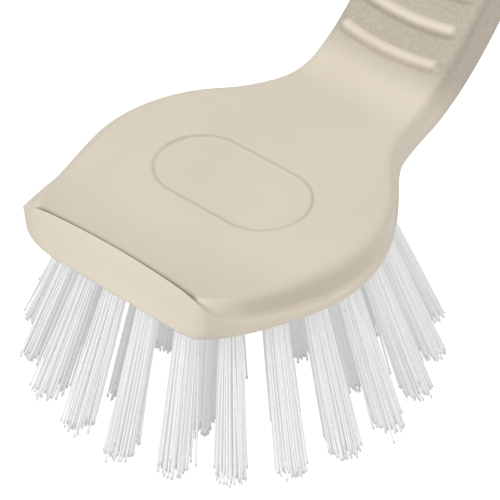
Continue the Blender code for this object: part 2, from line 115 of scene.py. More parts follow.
# The spine's length is found in a few rounds, so that the bent handle has its reach.
length = handle_reach
for _ in range(spine_rounds):
    length += handle_reach - spine(length)[1][-1]
track = spine(length)
ribs_end = rib_first + rib_count * rib_pitch


def bend(p):
    """Plan point (s, y, n) to its place: the spine's point at s plus n along the spine's normal."""
    s, y, n = p[..., 0], p[..., 1], p[..., 2]
    x = np.where(s < 0, s, np.interp(s, track[0], track[1]))
    z = np.where(s < 0, 0, np.interp(s, track[0], track[2]))
    a = np.where(s < 0, 0, np.interp(s, track[0], track[3]))
    return np.stack([head.x + x - np.sin(a) * n, y, head.z + z + np.cos(a) * n], -1)


def thickness(s):
    """Thickness of the body: a smooth step up in the neck and a smooth step down towards the tail."""
    grow = (neck_depth - head_depth) * ease((s - neck_start) / neck_bend)
    return head_depth + grow - (neck_depth - tail_depth) * ease((s - grip_at) / (tail_at - grip_at))


def half_width(s):
    """Half width of the handle: smooth steps from the neck to the waist, the grip and the tail."""
    waist = (waist_half - neck_half) * ease((s - waist_from) / (waist_at - waist_from))
    grip = (grip_half - waist_half) * ease((s - waist_at) / (grip_at - waist_at))
    return neck_half + waist + grip + (tail_half - grip_half) * ease((s - grip_at) / (tail_at - grip_at))


def top_height(s, y, edge):
    """Top surface: a parabola up to the blade, plus a crown that falls with the square of y."""
    ramp = ramp_rise * np.clip((-s - ramp_start) / (scraper_reach - crease_gap - ramp_start), 0, None) ** 2
    dish = thumb_dish * ease((s - neck_start) / neck_bend)
    crown = (handle_crown + thumb_dish) * ease((s - ribs_end) / crown_run)
    flat = handle_crown * ease((s - length + tail_length + tail_bend) / tail_bend)
    return ramp + (crown - dish - flat) * (1 - np.clip(y / np.maximum(edge, mm), 0, 1) ** 2)


def channel(s):
    """Depth of the hollow under the handle: one smooth step in and one smooth step out."""
    start, end = ease((s - channel_start) / channel_run), ease((length - channel_end - s) / channel_run)
    return channel_depth * start * end


def pulled(p0, p1, p2, p3, t):
    """Cubic Bezier curve: its four points weighted by the Bernstein polynomials of t."""
    t = np.asarray(t)[:, None]
    weights = ((1 - t) ** 3, 3 * t * (1 - t) ** 2, 3 * t * t * (1 - t), t ** 3)
    return sum(w * np.asarray(p, float) for w, p in zip(weights, (p0, p1, p2, p3)))


def ring_part(centre, radius, start, end, t):
    """Circle arc in plan: the radius times the cosine and the sine of an angle from start to end."""
    a = start + (end - start) * t
    return np.stack([centre + radius * np.cos(a), radius * np.sin(a)], -1)


def ridge(y):
    """Reach of the blade's edge: a parabola over y."""
    return scraper_reach + scraper_bow * (y / scraper_half_width) ** 2


def oval_edge(inset, t_front, t_corner, t_side):
    """Left half of the recess's outline: a straight front half, then two quarter circles and a straight."""
    radius = oval_radius - inset
    quarter = radius * math.pi / 2
    run = t_side * (quarter + oval_half_straight)
    turn = np.minimum(run / quarter, 1) * math.pi / 2
    back = np.clip((run - quarter) / oval_half_straight, 0, 1)
    corner = t_corner * math.pi / 2
    return np.concatenate([
        np.stack([np.full_like(t_front, -radius), oval_half_straight * t_front], -1),
        np.stack([-radius * np.cos(corner), oval_half_straight + radius * np.sin(corner)], -1),
        np.stack([radius * np.sin(turn), oval_half_straight * (1 - back) + radius * np.cos(turn)], -1),
    ])


# Columns of each stretch of the outlines, and the pull points of its curves, in shares of their radius.
front_columns, corner_columns, side_columns = 33, 65, 82
neck_columns, rib_columns, handle_columns, cap_columns, cap_power = 46, 186, 84, 28, 1.5
deck_corner_shares = ((-0.987, 0.746), (-0.568, 0.884), (-0.272, 0.9623))
rim_corner_shares = ((-0.9744, 0.7987), (-0.5495, 0.9329), (-0.2502, 0.9847))
foot_corner_shares = ((-0.984, 0.573), (-0.924, 0.621), (-0.5100, 0.9180))
neck_top_shares, neck_rim_shares = ((0.7071, 0.7071), (0.84, 0.574)), ((0.4732, 0.8407), (0.8599, 0.6051))
neck_blend_share, fence_fall = 0.30, 0.5


def outlines():
    """Left half outlines of the deck, the rim, the foot, the recess and the centre line, column by column:
    straight lines, parabolas, circle arcs and Bezier curves, end to end, with the same columns on each."""
    t_front, t_corner = np.linspace(0, 1, front_columns)[:-1], np.linspace(0, 1, corner_columns)[:-1]
    t_side, t_neck = np.linspace(0, 1, side_columns), np.linspace(0, 1, neck_columns)[1:-1]
    t_cap = 1 - np.linspace(1, 0, cap_columns) ** cap_power
    cap = length - end_round

    tip = np.minimum(t_corner / tip_share, 1)
    back = np.clip((t_corner - tip_share) / (1 - tip_share), 0, 1)
    y_face, y_tip = face_half_width * t_front, mix(face_half_width, scraper_half_width, tip)
    deck_bends = deck_radius * np.array(deck_corner_shares)
    rim_bends = rim_radius * np.array(rim_corner_shares)
    foot_tip, *foot_bends = rim_radius * np.array(foot_corner_shares)
    y_crease = mix(face_half_width, crease_half_width, tip)
    crease_end = (crease_gap - ridge(crease_half_width), crease_half_width)
    neck_top, neck_top_bend = deck_radius * np.array(neck_top_shares)
    neck_rim, neck_rim_bend = rim_radius * np.array(neck_rim_shares)
    neck_end = neck_start + neck_blend_share * neck_bend

    around = ring_part(0, deck_radius, math.atan2(*deck_bends[2][::-1]), math.atan2(*neck_top[::-1]),
                       t_side)
    flange = ring_part(-rim_offset, rim_radius, math.atan2(rim_bends[2][1], rim_bends[2][0] + rim_offset),
                       math.atan2(neck_rim[1], neck_rim[0] + rim_offset), t_side)
    neck_side = pulled(neck_rim, neck_rim_bend, (neck_start - neck_pull, neck_half),
                       (neck_end, neck_half + side_flare), t_neck)
    s = np.concatenate([np.linspace(neck_end, ribs_end, rib_columns)[:-1],
                        np.linspace(ribs_end, cap, handle_columns)[:-1]])
    turn = t_cap * math.pi / 2
    wide = half_width(cap)
    handle_rim = np.concatenate([
        np.stack([s, half_width(s) + side_flare], -1),
        np.stack([cap + end_round * np.sin(turn), (wide + side_flare) * np.cos(turn)], -1),
    ])
    handle_rim[-1, 1] = 0
    handle_deck = np.concatenate([
        np.stack([s, half_width(s)], -1),
        np.stack([cap + (end_round - side_flare) * np.sin(turn), wide * np.cos(turn)], -1),
    ])
    handle_deck[-1, 1] = 0
    deck = np.concatenate([
        np.stack([crease_gap - ridge(y_face), y_face], -1),
        np.where(tip[:, None] < 1, np.stack([crease_gap - ridge(y_crease), y_crease], -1),
                 pulled(crease_end, *deck_bends, back)),
        around,
        pulled(neck_top, neck_top_bend, (neck_start, neck_half), (neck_end, neck_half), t_neck),
        handle_deck,
    ])
    crest = pulled((-ridge(scraper_half_width), scraper_half_width), *rim_bends, back)
    rim = np.concatenate([
        np.stack([-ridge(y_face), y_face], -1),
        np.where(tip[:, None] < 1, np.stack([-ridge(y_tip), y_tip], -1), crest),
        flange, neck_side, handle_rim,
    ])
    foot = np.concatenate([
        np.stack([np.full_like(t_front, -foot_reach), foot_half_width * t_front], -1),
        np.where(tip[:, None] < 1, mix(np.array((-foot_reach, foot_half_width)), foot_tip, tip[:, None]),
                 pulled(foot_tip, *foot_bends, rim_bends[2], back)),
        flange, neck_side, handle_rim,
    ])
    beyond = np.concatenate([
        mix(oval_radius, neck_end, (t_neck - t_neck[0]) / (1 - t_neck[0])), s,
        mix(cap, cap + end_fan, t_cap),
    ])
    beyond = np.stack([beyond, np.zeros_like(beyond)], -1)
    count = len(t_front) + len(t_corner) + len(t_side)
    inner = oval_radius - oval_draft
    lip = np.concatenate([oval_edge(0, t_front, t_corner, t_side), beyond])
    floor = np.concatenate([oval_edge(oval_draft, t_front, t_corner, t_side), beyond])
    middle = np.concatenate([np.stack([np.linspace(-inner, inner, count), np.zeros(count)], -1), beyond])
    rest = len(t_side) + len(beyond)
    fall = (1 + fence_fall) * back - fence_fall * back ** 2
    tip_rise = scraper_rise - scraper_drop * tip ** 2
    fence = np.concatenate([
        np.full(len(t_front), scraper_rise), mix(tip_rise, rim_height - head_depth, fall), np.zeros(rest),
    ])
    corner = np.concatenate([np.zeros(len(t_front)), t_corner, np.ones(rest)])
    sink = np.concatenate([np.full(count, oval_depth), np.zeros(len(beyond))])
    neck = np.concatenate([np.zeros(count), ease(t_neck), np.ones(len(s) + len(t_cap))])
    return deck, rim, foot, lip, floor, middle, fence, corner, sink, neck


# Rows and rounds of the profile's corners. A ledge corner has one round at the blade and one at the fence.
recess_rows, deck_rows, under_rows = 4, 36, 7
floor_round, lip_round, rim_round, channel_round = 0.30 * mm, 0.25 * mm, 0.4 * mm, 0.9 * mm
blade_round, fence_round, neck_round = 0.25 * mm, 2.4 * mm, 3.4 * mm
valley_round, inner_foot_round = (0.2 * mm, 2.4 * mm), (0.2 * mm, 1.2 * mm)
inner_top_round, crest_round = (0.12 * mm, 0.5 * mm), (0.30 * mm, 0.5 * mm)
wall_share, inner_foot_share, land_share = 0.28, 0.45, 0.20
side_shares, side_steps = (0.30, 0.60, 0.85, 1), (1, 2, 2, 2)
valley_lift, inner_foot_lift, inner_top_lift = 0.78, 0.6, 0.85
roll_start, round_most, round_stops, least_span = 0.5, 0.45, (0.25, 0.5, 0.75, 1), 1e-9


def rolled(corner):
    """Share of the way from the blade's sharp crease to the fence's soft roll: a smooth step at the tip."""
    return ease((corner - roll_start * tip_share) / tip_share)


def profile():
    """Corner points of each column's profile, from the top's middle to the underside's middle, with the
    round of each and the steps of the run after it. Straight blends lead from blade to fence to neck."""
    deck, rim, foot, lip, floor, middle, fence, corner, sink, neck = outlines()
    under = -thickness(foot[:, 0])
    rim_top = rim_height + under
    fence = np.where(corner < 1, fence, rim_top)
    gap = np.linalg.norm(rim - deck, axis=1)
    outward = (rim - deck) / gap[:, None]
    roll = rolled(corner)
    edge_round = mix(mix(blade_round, fence_round, roll), neck_round, neck)
    edge_n = top_height(deck[:, 0], deck[:, 1], deck[:, 1])
    points = []

    def corner_at(plan, n, turn, steps):
        """Adds one corner: its plan and height, its round, and the steps of the run that leaves it."""
        points.append((np.column_stack([plan, np.broadcast_to(n, len(plan))]),
                       np.broadcast_to(turn, len(plan)), steps))

    corner_at(middle, top_height(middle[:, 0], 0 * gap, deck[:, 1]) - sink, 0, recess_rows)
    corner_at(floor, top_height(floor[:, 0], floor[:, 1], deck[:, 1]) - sink, floor_round, 1)
    corner_at(lip, top_height(lip[:, 0], lip[:, 1], deck[:, 1]), lip_round, deck_rows)
    corner_at(deck, edge_n, edge_round, 2)
    valley = mix(edge_n - crease_depth, mix(edge_n, fence, valley_lift), roll)
    wall = mix(wall_run, wall_share * gap, roll)[:, None]
    inner_foot = mix(fence_foot, inner_foot_share * gap, roll)[:, None]
    inner_top = mix(fence_land, land_share * gap, roll)[:, None]
    ledge = (
        (deck + outward * wall, valley, valley_round),
        (rim - outward * inner_foot, mix(valley, fence, inner_foot_lift * roll), inner_foot_round),
        (rim - outward * inner_top, mix(fence, mix(valley, fence, inner_top_lift), roll), inner_top_round),
        (rim, fence, crest_round),
    )
    for (plan, n, rounds), share, steps in zip(ledge, side_shares, side_steps):
        side = mix(deck, rim, share)
        side_n = mix(edge_n - edge_round, under + side_foot_height, share)
        corner_at(mix(plan, side, neck[:, None]), mix(n, side_n, neck), mix(*rounds, roll), steps)
    base = mix(foot_round, base_round, np.maximum(corner, neck))
    belly = mix(rim, foot, mix(*belly_shares, ease(corner / tip_share))[:, None])
    corner_at(belly, mix(fence, under, belly_drop), belly_round, 2)
    corner_at(foot, under, base, 2)
    hollow = channel(middle[:, 0])
    run = np.linalg.norm(middle - foot, axis=1)
    corner_at(mix(foot, middle, (rim_width / run)[:, None]), under, rim_round, 2)
    slant = (rim_width + channel_draft * hollow / channel_depth) / run
    corner_at(mix(foot, middle, slant[:, None]), under + hollow, channel_round, under_rows)
    corner_at(middle, -thickness(middle[:, 0]) + hollow, 0, 0)
    return points, deck[:, 1], corner


def rib_lines(y):
    """For each rib, its middle line over y, bowed by a parabola, and the y on it that lies nearest."""
    reach = np.clip(y, 0, rib_half_length - rib_half_width)
    for number in range(rib_count):
        yield rib_first + number * rib_pitch + rib_bow * ((reach / rib_half_length) ** 2 - 1), reach


def rounded(points, edge):
    """Rows over the profile, and how many there are after each corner: straight runs, and at each corner
    a quadratic curve that starts and ends a round away from it, or a share of the shorter run. The ribs,
    which fall with a power of the distance from their line, are put on by a smooth maximum, and then the
    crown."""
    plan = np.array([p for p, _, _ in points])
    lift = np.array([top_height(p[:, 0], p[:, 1], edge) for p in plan])
    flat = plan.copy()
    flat[..., 2] -= lift
    span = np.linalg.norm(np.diff(plan, axis=0), axis=2)
    rows, last, ends = [flat[0]], flat[0], [1]
    for i in range(1, len(points)):
        steps = points[i - 1][2]
        if i == len(points) - 1:
            start = end = flat[i]
        else:
            reach = np.minimum(points[i][1], round_most * np.minimum(span[i - 1], span[i]))
            before = (flat[i - 1] - flat[i]) / np.maximum(span[i - 1], least_span)[:, None]
            after = (flat[i + 1] - flat[i]) / np.maximum(span[i], least_span)[:, None]
            start, end = flat[i] + before * reach[:, None], flat[i] + after * reach[:, None]
        rows += [mix(last, start, k / steps) for k in range(1, steps + 1)]
        if i < len(points) - 1:
            for t in round_stops:
                rows.append(start * (1 - t) ** 2 + flat[i] * (2 * t * (1 - t)) + end * t * t)
        last = end
        ends.append(len(rows))
    rows = np.array(rows)
    top = rows[:ends[3]]
    for line, reach in rib_lines(top[..., 1]):
        away = np.hypot(top[..., 0] - line, top[..., 1] - reach) / rib_half_width
        n, bar = top[..., 2], rib_proud * (1 - away ** rib_power)
        top[..., 2] = (n + bar + np.sqrt((n - bar) ** 2 + rib_blend ** 2)) / 2
    rows[..., 2] += top_height(rows[..., 0], rows[..., 1], edge)
    return rows, ends


# Painted shades of the thumb pad and the creases: where each starts, over what run it grows, and how deep
# it gets.
pad_start, pad_lead, pad_fade, pad_side = 38.0 * mm, 4.0 * mm, 10.0 * mm, 0.8
# crest_lead and crest_core keep each rib's crest, moved a little up the handle, out of the pad's painted
# shade: a painted highlight.
crest_lead, crest_core = 0.5 * mm, 0.25
# Painted shade at the foot of each rib's lower side, in the recess's edge, behind the blade, in the
# flange's hollow, and on the blade's tip and corner face.
rib_foot_at, rib_foot_width, rib_foot_run, rib_foot_shade = 0.9, 0.25, 1.0 * mm, 0.35
recess_shades, recess_turn, recess_least = (0.35, 0.85), 6.0 * mm, 0.1 * mm
recess_fade = np.array((0.4, 0.7, 1, 1, 0.8, 0.5, 0.2))[:, None]
fold_end, fold_run, fold_shade, tip_width, tip_shade = 0.75, 0.45, 0.8, 0.016, 0.8
fold_fade = np.array((0.55, 0.7, 0.8, 0.9, 1))[:, None]
hollow_start, hollow_run, hollow_end, hollow_out, hollow_shade = 0.3, 0.35, -14.0 * mm, 30.0 * mm, 0.7
hollow_fade = np.array((0.15, 0.4, 0.6, 0.8, 1))[:, None]
turn_end, turn_run, turn_shade = 0.25, 0.35, 0.5


def step_in(x, start, run):
    """Smooth step up from 0 to 1 that begins at a place and is done a run later."""
    return ease((x - start) / run)


def bell(x, middle, width):
    """Bell curve: e to the power of minus the square of the distance from its middle in widths."""
    return np.exp(-((x - middle) / width) ** 2)


def painted_pad_and_crease_shades(points, rows, ends, corner):
    """Two shares for each point, both painted shade. The pad's is a smooth step in and out along the neck,
    less the ribs' crests, which are left light a little up the handle as a painted highlight; it also sets
    where the spark grain goes. The creases' is smooth steps and bell curves, in the rows that run there, at
    the ribs' feet, the recess's edge, the fold behind the blade, the flange's hollow, and the blade's tip
    and corner."""
    lip_end, deck_end, valley_end, inner_foot_end, inner_top_end = ends[2:7]
    belly_end, foot_end = ends[8:10]
    s, y = rows[..., 0], rows[..., 1]
    pad, crease = np.zeros((2, *s.shape))
    for line, reach in rib_lines(y[:deck_end]):
        along, across = s[:deck_end] - line, y[:deck_end] - reach
        # Painted highlight on each rib's upper side: its crest, moved up the handle, is left out of the
        # pad's painted shade.
        lit = np.hypot(along - crest_lead, across) / rib_half_width
        pad[:deck_end] = np.maximum(pad[:deck_end], 1 - step_in(lit, crest_core, 1 - crest_core))
        # Painted shade at the foot of each rib, on its lower side only.
        edge = bell(np.hypot(along, across) / rib_half_width, rib_foot_at, rib_foot_width)
        below = step_in(-along, -rib_foot_run / 2, rib_foot_run)
        crease[:deck_end] = np.maximum(crease[:deck_end], rib_foot_shade * edge * below)
    # Painted shade over the neck, and weaker down its sides.
    ground = step_in(s, pad_start, pad_fade) * (1 - step_in(s, ribs_end - pad_lead, pad_fade))
    pad[:deck_end] = ground[:deck_end] * (1 - pad[:deck_end])
    pad[deck_end:belly_end] = pad_side * ground[deck_end:belly_end]

    # Painted shade in the recess's edge, the fold behind the blade and the flange's hollow, as a line at
    # the blade's tip and on its turned corner face.
    floor, lip, deck = (points[i][0] for i in (1, 2, 3))
    recess = mix(*recess_shades, step_in(lip[:, 0], -recess_turn / 2, recess_turn))
    recess = recess * (np.linalg.norm(lip - floor, axis=1) > recess_least)
    tip_line = bell(corner, tip_share, tip_width)
    folded = np.maximum(1 - step_in(corner / tip_share, fold_end, fold_run), tip_line)
    hollow = step_in(corner, hollow_start, hollow_run) * (1 - step_in(deck[:, 0], hollow_end, hollow_out))
    turned = rolled(corner) * (1 - step_in(corner, turn_end, turn_run))
    crease[lip_end - len(recess_fade):lip_end] = recess_fade * recess
    crease[deck_end - len(fold_fade):deck_end] = fold_fade * folded + hollow_fade * hollow_shade * hollow
    crease[deck_end:valley_end] = fold_shade * folded + hollow_shade * hollow
    crease[valley_end:inner_foot_end] = folded + hollow_shade / 2 * hollow
    crease[inner_foot_end:inner_top_end] = tip_shade * tip_line
    crease[inner_top_end:foot_end] = turn_shade * turned
    return np.stack([pad, crease], -1)


# Points this near the middle line lie on it, and doubles are those that share a place on the grid.
on_middle, weld_grid = 1e-7, 1e6


def closed_half(rows, shares):
    """Points, triangles and shares of the left half's grid and its mirror image, with doubles made one."""
    place = bend(rows)
    place[..., 1][rows[..., 1] < on_middle] = 0
    down, across = place.shape[:2]
    number = np.arange(down * across).reshape(down, across)
    quads = np.stack([number[:-1, :-1], number[:-1, 1:], number[1:, 1:], number[1:, :-1]], -1)
    quads = quads.reshape(-1, 4)
    left = np.concatenate([quads[:, [0, 1, 2]], quads[:, [0, 2, 3]]])
    right = left[:, ::-1] + down * across
    points = place.reshape(-1, 3)
    points = np.concatenate([points, points * (1, -1, 1)])
    places = np.round(points * weld_grid).astype(int)
    _, first, same = np.unique(places, axis=0, return_index=True, return_inverse=True)
    faces = same.reshape(-1)[np.concatenate([left, right])]
    whole = (faces[:, 0] != faces[:, 1]) & (faces[:, 1] != faces[:, 2]) & (faces[:, 2] != faces[:, 0])
    return points[first], faces[whole], np.concatenate([shares.reshape(-1, 2)] * 2)[first]


def mesh_of(name, points, faces, **shares):
    """Mesh from an array of points and a list of faces, with shares by point that its material reads."""
    mesh = bpy.data.meshes.new(name)
    mesh.from_pydata(points.tolist(), [], faces)
    mesh.update()
    for share, values in shares.items():
        data = mesh.attributes.new(share, "FLOAT", "POINT").data
        data.foreach_set("value", values.astype(np.float32))
    return mesh


def add_piece(name, mesh, material, slot, *nodes):
    """Puts a finished mesh into the scene, with its finish, its body and the nodes that it stands for."""
    piece = bpy.data.objects.new(name, mesh)
    bpy.context.collection.objects.link(piece)
    mesh.materials.append(material)
    mesh.shade_smooth()
    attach(piece, "root")
    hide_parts(*nodes)
    return piece


def tube(rings):
    """Closed tube over rings of points, with a flat fan at each end: a side face joins four neighbours."""
    count, sides = rings.shape[:2]
    number = np.arange(count * sides).reshape(count, sides)
    turned = np.roll(number, -1, axis=1)
    quads = np.stack([number[:-1], turned[:-1], turned[1:], number[1:]], -1).reshape(-1, 4)
    return rings.reshape(-1, 3), quads.tolist() + [number[0][::-1].tolist(), number[-1].tolist()]


# What is cut out of the closed body: the hanging hole, and a blind hole for each tuft.
hang_sides, hang_round_steps, hang_overrun = 64, 6, 1.0 * mm
hole_radius, hole_depth, hole_sides, hole_overrun = 2.2 * mm, 5.2 * mm, 24, 2.0 * mm
sharp_angle = math.radians(38)
bristle_height = head.z - head_depth

# Each row of tufts, from the outside in: its radius, how far its tips lean out, its count and its turn.
rows_of_tufts = (
    (26.0 * mm, 12.0 * mm, 22, 0.5),
    (18.0 * mm, 8.5 * mm, 10, 0.25),
    (9.0 * mm, 3.8 * mm, 5, 0.5),
)


def hanging_cut():
    """Rings of the hanging hole's cutter: a stadium whose radius grows in a quarter round at both faces."""
    a = np.linspace(0, math.tau, hang_sides + 1)[:-1]
    t = np.linspace(0, math.pi / 2, hang_round_steps)
    low = np.column_stack([-tail_depth + hole_lip * (1 - np.cos(t)), hole_lip * (1 - np.sin(t))])
    high = np.column_stack([-hole_lip * (1 - np.cos(t)), hole_lip * (1 - np.sin(t))])[::-1]
    below, above = (-tail_depth - hang_overrun, hole_lip), (hang_overrun, hole_lip)
    steps = np.concatenate([[below], low, high, [above]])
    rings = []
    for n, grow in steps:
        radius = hole_end_radius + grow
        s = length - hole_centre + radius * np.cos(a)
        y = radius * np.sin(a)
        s = s + np.sign(np.round(np.cos(a), 6)) * hole_half_straight
        rings.append(bend(np.column_stack([s, y, np.full_like(s, n)])))
    return tube(np.array(rings))


def tuft_places():
    """Mouth and direction of each tuft: rings round the head's centre, each leaning out by its splay."""
    places = []
    for radius, splay, count, turn in rows_of_tufts:
        lean = math.atan2(splay, bristle_height)
        for i in range(count):
            a = math.tau * (i + turn) / count
            mouth = Vector((head.x - radius * math.cos(a), radius * math.sin(a), bristle_height))
            axis = Vector((-math.cos(a) * math.sin(lean), math.sin(a) * math.sin(lean), -math.cos(lean)))
            places.append((mouth, axis))
    return places


def square_to(axis):
    """Two directions square to an axis: its cross product with +Y, and the cross product of the two."""
    side = axis.cross(Vector((0, 1, 0))).normalized()
    return side, axis.cross(side)


def tuft_cut(mouth, axis):
    """Rings of one tuft hole's cutter: circles square to the hole's direction."""
    u, v = (np.array(d) for d in square_to(axis))
    a = np.linspace(0, math.tau, hole_sides + 1)[:-1][:, None]
    circle = hole_radius * (np.cos(a) * u + np.sin(a) * v)
    ends = [np.array(mouth + axis * along) + circle for along in (hole_overrun, -hole_depth)]
    return tube(np.array(ends))


def cut(target, shapes):
    """Takes closed shapes out of a mesh object with an exact Boolean, applied at once."""
    starts = np.cumsum([0] + [len(points) for points, _ in shapes])
    faces = [[start + k for k in face] for start, (_, sides) in zip(starts, shapes) for face in sides]
    data = mesh_of("cut", np.concatenate([points for points, _ in shapes]), faces)
    blade = bmesh.new()
    blade.from_mesh(data)
    bmesh.ops.recalc_face_normals(blade, faces=blade.faces)
    blade.to_mesh(data)
    blade.free()
    tool = bpy.data.objects.new("cut", data)
    bpy.context.collection.objects.link(tool)
    modifier = target.modifiers.new("cut", "BOOLEAN")
    modifier.operation, modifier.solver, modifier.object = "DIFFERENCE", "EXACT", tool
    done = bpy.data.meshes.new_from_object(target.evaluated_get(bpy.context.evaluated_depsgraph_get()))
    target.modifiers.clear()
    target.data = done
    bpy.data.objects.remove(tool, do_unlink=True)


class Nodes:
    """A material's shader and its node tree, with short calls for the nodes that every finish here uses."""

    def __init__(self, name, roughness, **sockets):
        self.material = bpy.data.materials.new(name)
        self.material.use_nodes = True
        self.tree = self.material.node_tree
        self.shader = self.tree.nodes["Principled BSDF"]
        self.shader.inputs["Roughness"].default_value = roughness
        for socket, value in sockets.items():
            self.shader.inputs[socket.replace("_", " ")].default_value = value
        self.place = self.tree.nodes.new("ShaderNodeTexCoord").outputs["Object"]

    def add(self, kind, inputs=(), **settings):
        """One node with its settings, and with values or links on its inputs by number or name."""
        node = self.tree.nodes.new(kind)
        for key, value in settings.items():
            setattr(node, key, value)
        for key, value in dict(inputs).items():
            if isinstance(value, bpy.types.NodeSocket):
                self.tree.links.new(value, node.inputs[key])
            else:
                node.inputs[key].default_value = value
        return node

    def noise(self, waves, detail, place=None):
        """Value of a noise of so many waves a metre."""
        inputs = {"Vector": place or self.place, "Scale": waves, "Detail": detail}
        return self.add("ShaderNodeTexNoise", inputs).outputs[0]

    def share(self, name):
        """The numbers by point that the mesh carries under a name."""
        return self.add("ShaderNodeAttribute", attribute_name=name).outputs["Fac"]

    def graded(self, value, low=0, high=1, to_low=0, to_high=1):
        """Straight map of a value from one range to another, held at its ends."""
        inputs = {0: value, 1: low, 2: high, 3: to_low, 4: to_high}
        return self.add("ShaderNodeMapRange", inputs).outputs[0]

    def tint(self, share, first, second):
        """Colour between two colours, by a share."""
        node = self.add("ShaderNodeMix", {0: share}, data_type="RGBA")
        for socket, colour in ((node.inputs[6], first), (node.inputs[7], second)):
            if isinstance(colour, bpy.types.NodeSocket):
                self.tree.links.new(colour, socket)
            else:
                socket.default_value = (*colour, 1)
        return node.outputs[2]

    def bump(self, height, strength, distance, under=None):
        """Normals tilted by a height, on top of another bump where one is given."""
        inputs = {"Strength": strength, "Distance": distance, "Height": height}
        if under:
            inputs["Normal"] = under
        return self.add("ShaderNodeBump", inputs).outputs[0]

    def join(self, value, socket):
        """Leads a value or colour to the shader."""
        self.tree.links.new(value, self.shader.inputs[socket])


# The plastic's finish: waves a metre, the part of each noise that shows, and the colours between.
cloud_waves, grain_waves, spark_waves = 45, 2600, 1500
cloud_band, grain_band, spark_band = (0.3, 0.7), (0.35, 0.65), (0.38, 0.62)
cream_low, cream_high, cream_speck = (0.660, 0.590, 0.480), (0.705, 0.637, 0.527), (0.600, 0.535, 0.435)
# Painted shade colours: two for the thumb pad and one for the creases; pad_most and crease_most say how far
# each is mixed in.
pad_painted_shade_low, pad_painted_shade_high, crease_painted_shade = (0.390, 0.347, 0.280), (0.450, 0.400, 0.324), (0.300, 0.262, 0.205)
speck_most, pad_most, crease_most, cream_rough = 0.10, 0.92, 0.58, (0.40, 0.50)
grain_strength, grain_height, spark_strength, spark_height = 0.10, 0.06 * mm, 0.5, 0.2 * mm


def cream_plastic():
    """Satin polypropylene: faint clouds of shade and a fine grain all over, a coarser spark grain on the
    thumb pad, painted shade that darkens the pad and leaves the ribs' upper sides light as a painted
    highlight, and painted shade in the creases, by the shares that the mesh carries."""
    nodes = Nodes("cream_polypropylene", 0.44, Specular_IOR_Level=0.42, IOR=1.49, Subsurface_Weight=0.06,
                  Subsurface_Scale=3.0 * mm, Subsurface_Radius=(1, 0.8, 0.55))
    pad, crease = nodes.share("thumb_pad"), nodes.share("crease")
    clouds, fine = nodes.noise(cloud_waves, 3), nodes.noise(grain_waves, 2)
    spark = nodes.noise(spark_waves, 3)
    cream = nodes.tint(nodes.graded(clouds, *cloud_band), cream_low, cream_high)
    skin = nodes.tint(nodes.graded(fine, *grain_band, to_high=speck_most), cream, cream_speck)
    # Painted shade: the pad's darker colours and the creases' colour darken the cream where light falls
    # less; the spark grain itself is the bump below.
    pad_painted_shade = nodes.tint(nodes.graded(spark, *spark_band), pad_painted_shade_low, pad_painted_shade_high)
    padded = nodes.tint(nodes.graded(pad, to_high=pad_most), skin, pad_painted_shade)
    nodes.join(nodes.tint(nodes.graded(crease, to_high=crease_most), padded, crease_painted_shade), "Base Color")
    nodes.join(nodes.graded(clouds, *cloud_band, *cream_rough), "Roughness")
    grain = nodes.bump(fine, grain_strength, grain_height)
    pad_grain = nodes.add("ShaderNodeMath", {0: spark, 1: pad}, operation="MULTIPLY").outputs[0]
    nodes.join(nodes.bump(pad_grain, spark_strength, spark_height, grain), "Normal")
    return nodes.material


corners, deck_edge, round_corner = profile()
body_rows, row_ends = rounded(corners, deck_edge)
body_points, body_faces, body_shares = closed_half(
    body_rows, painted_pad_and_crease_shades(corners, body_rows, row_ends, round_corner))
# Shares that the material reads: the pad's is painted shade and where the spark grain goes; the creases' is
# painted shade.
body_mesh = mesh_of("body", body_points, body_faces.tolist(), thumb_pad=body_shares[:, 0],
                    crease=body_shares[:, 1])
body = add_piece("moulded_body", body_mesh, cream_plastic(), "body", "brush_body")
tufts = tuft_places()
cut(body, [hanging_cut()] + [tuft_cut(mouth, axis) for mouth, axis in tufts])
body.data.set_sharp_from_angle(angle=sharp_angle)


# Tufts: bundles of straight white nylon filament, cut to length, folded over a wire and driven into the
# head's blind holes. They lean out, spread a little and end ragged, each tip with a bead left by the cut.

filaments, filament_radius, bead_radius, filament_sides = 96, 0.18 * mm, 0.26 * mm, 6
root_radius, root_depth, tip_spread, tip_ragged, tip_deviation = 1.85 * mm, 3.2 * mm, 1.62, 2.7 * mm, 0.45
shake_deviation, stray_share, stray_deviation, bow_deviation = 0.16 * mm, 0.13, 0.9 * mm, 0.22 * mm
ring_stops, ring_is_bead = (0, 0.25, 0.5, 0.75, 0.978, 0.986, 1), (0, 0, 0, 0, 0, 1, 1)
bead_least, bead_most, bead_end = 0.8, 1.05, 0.7


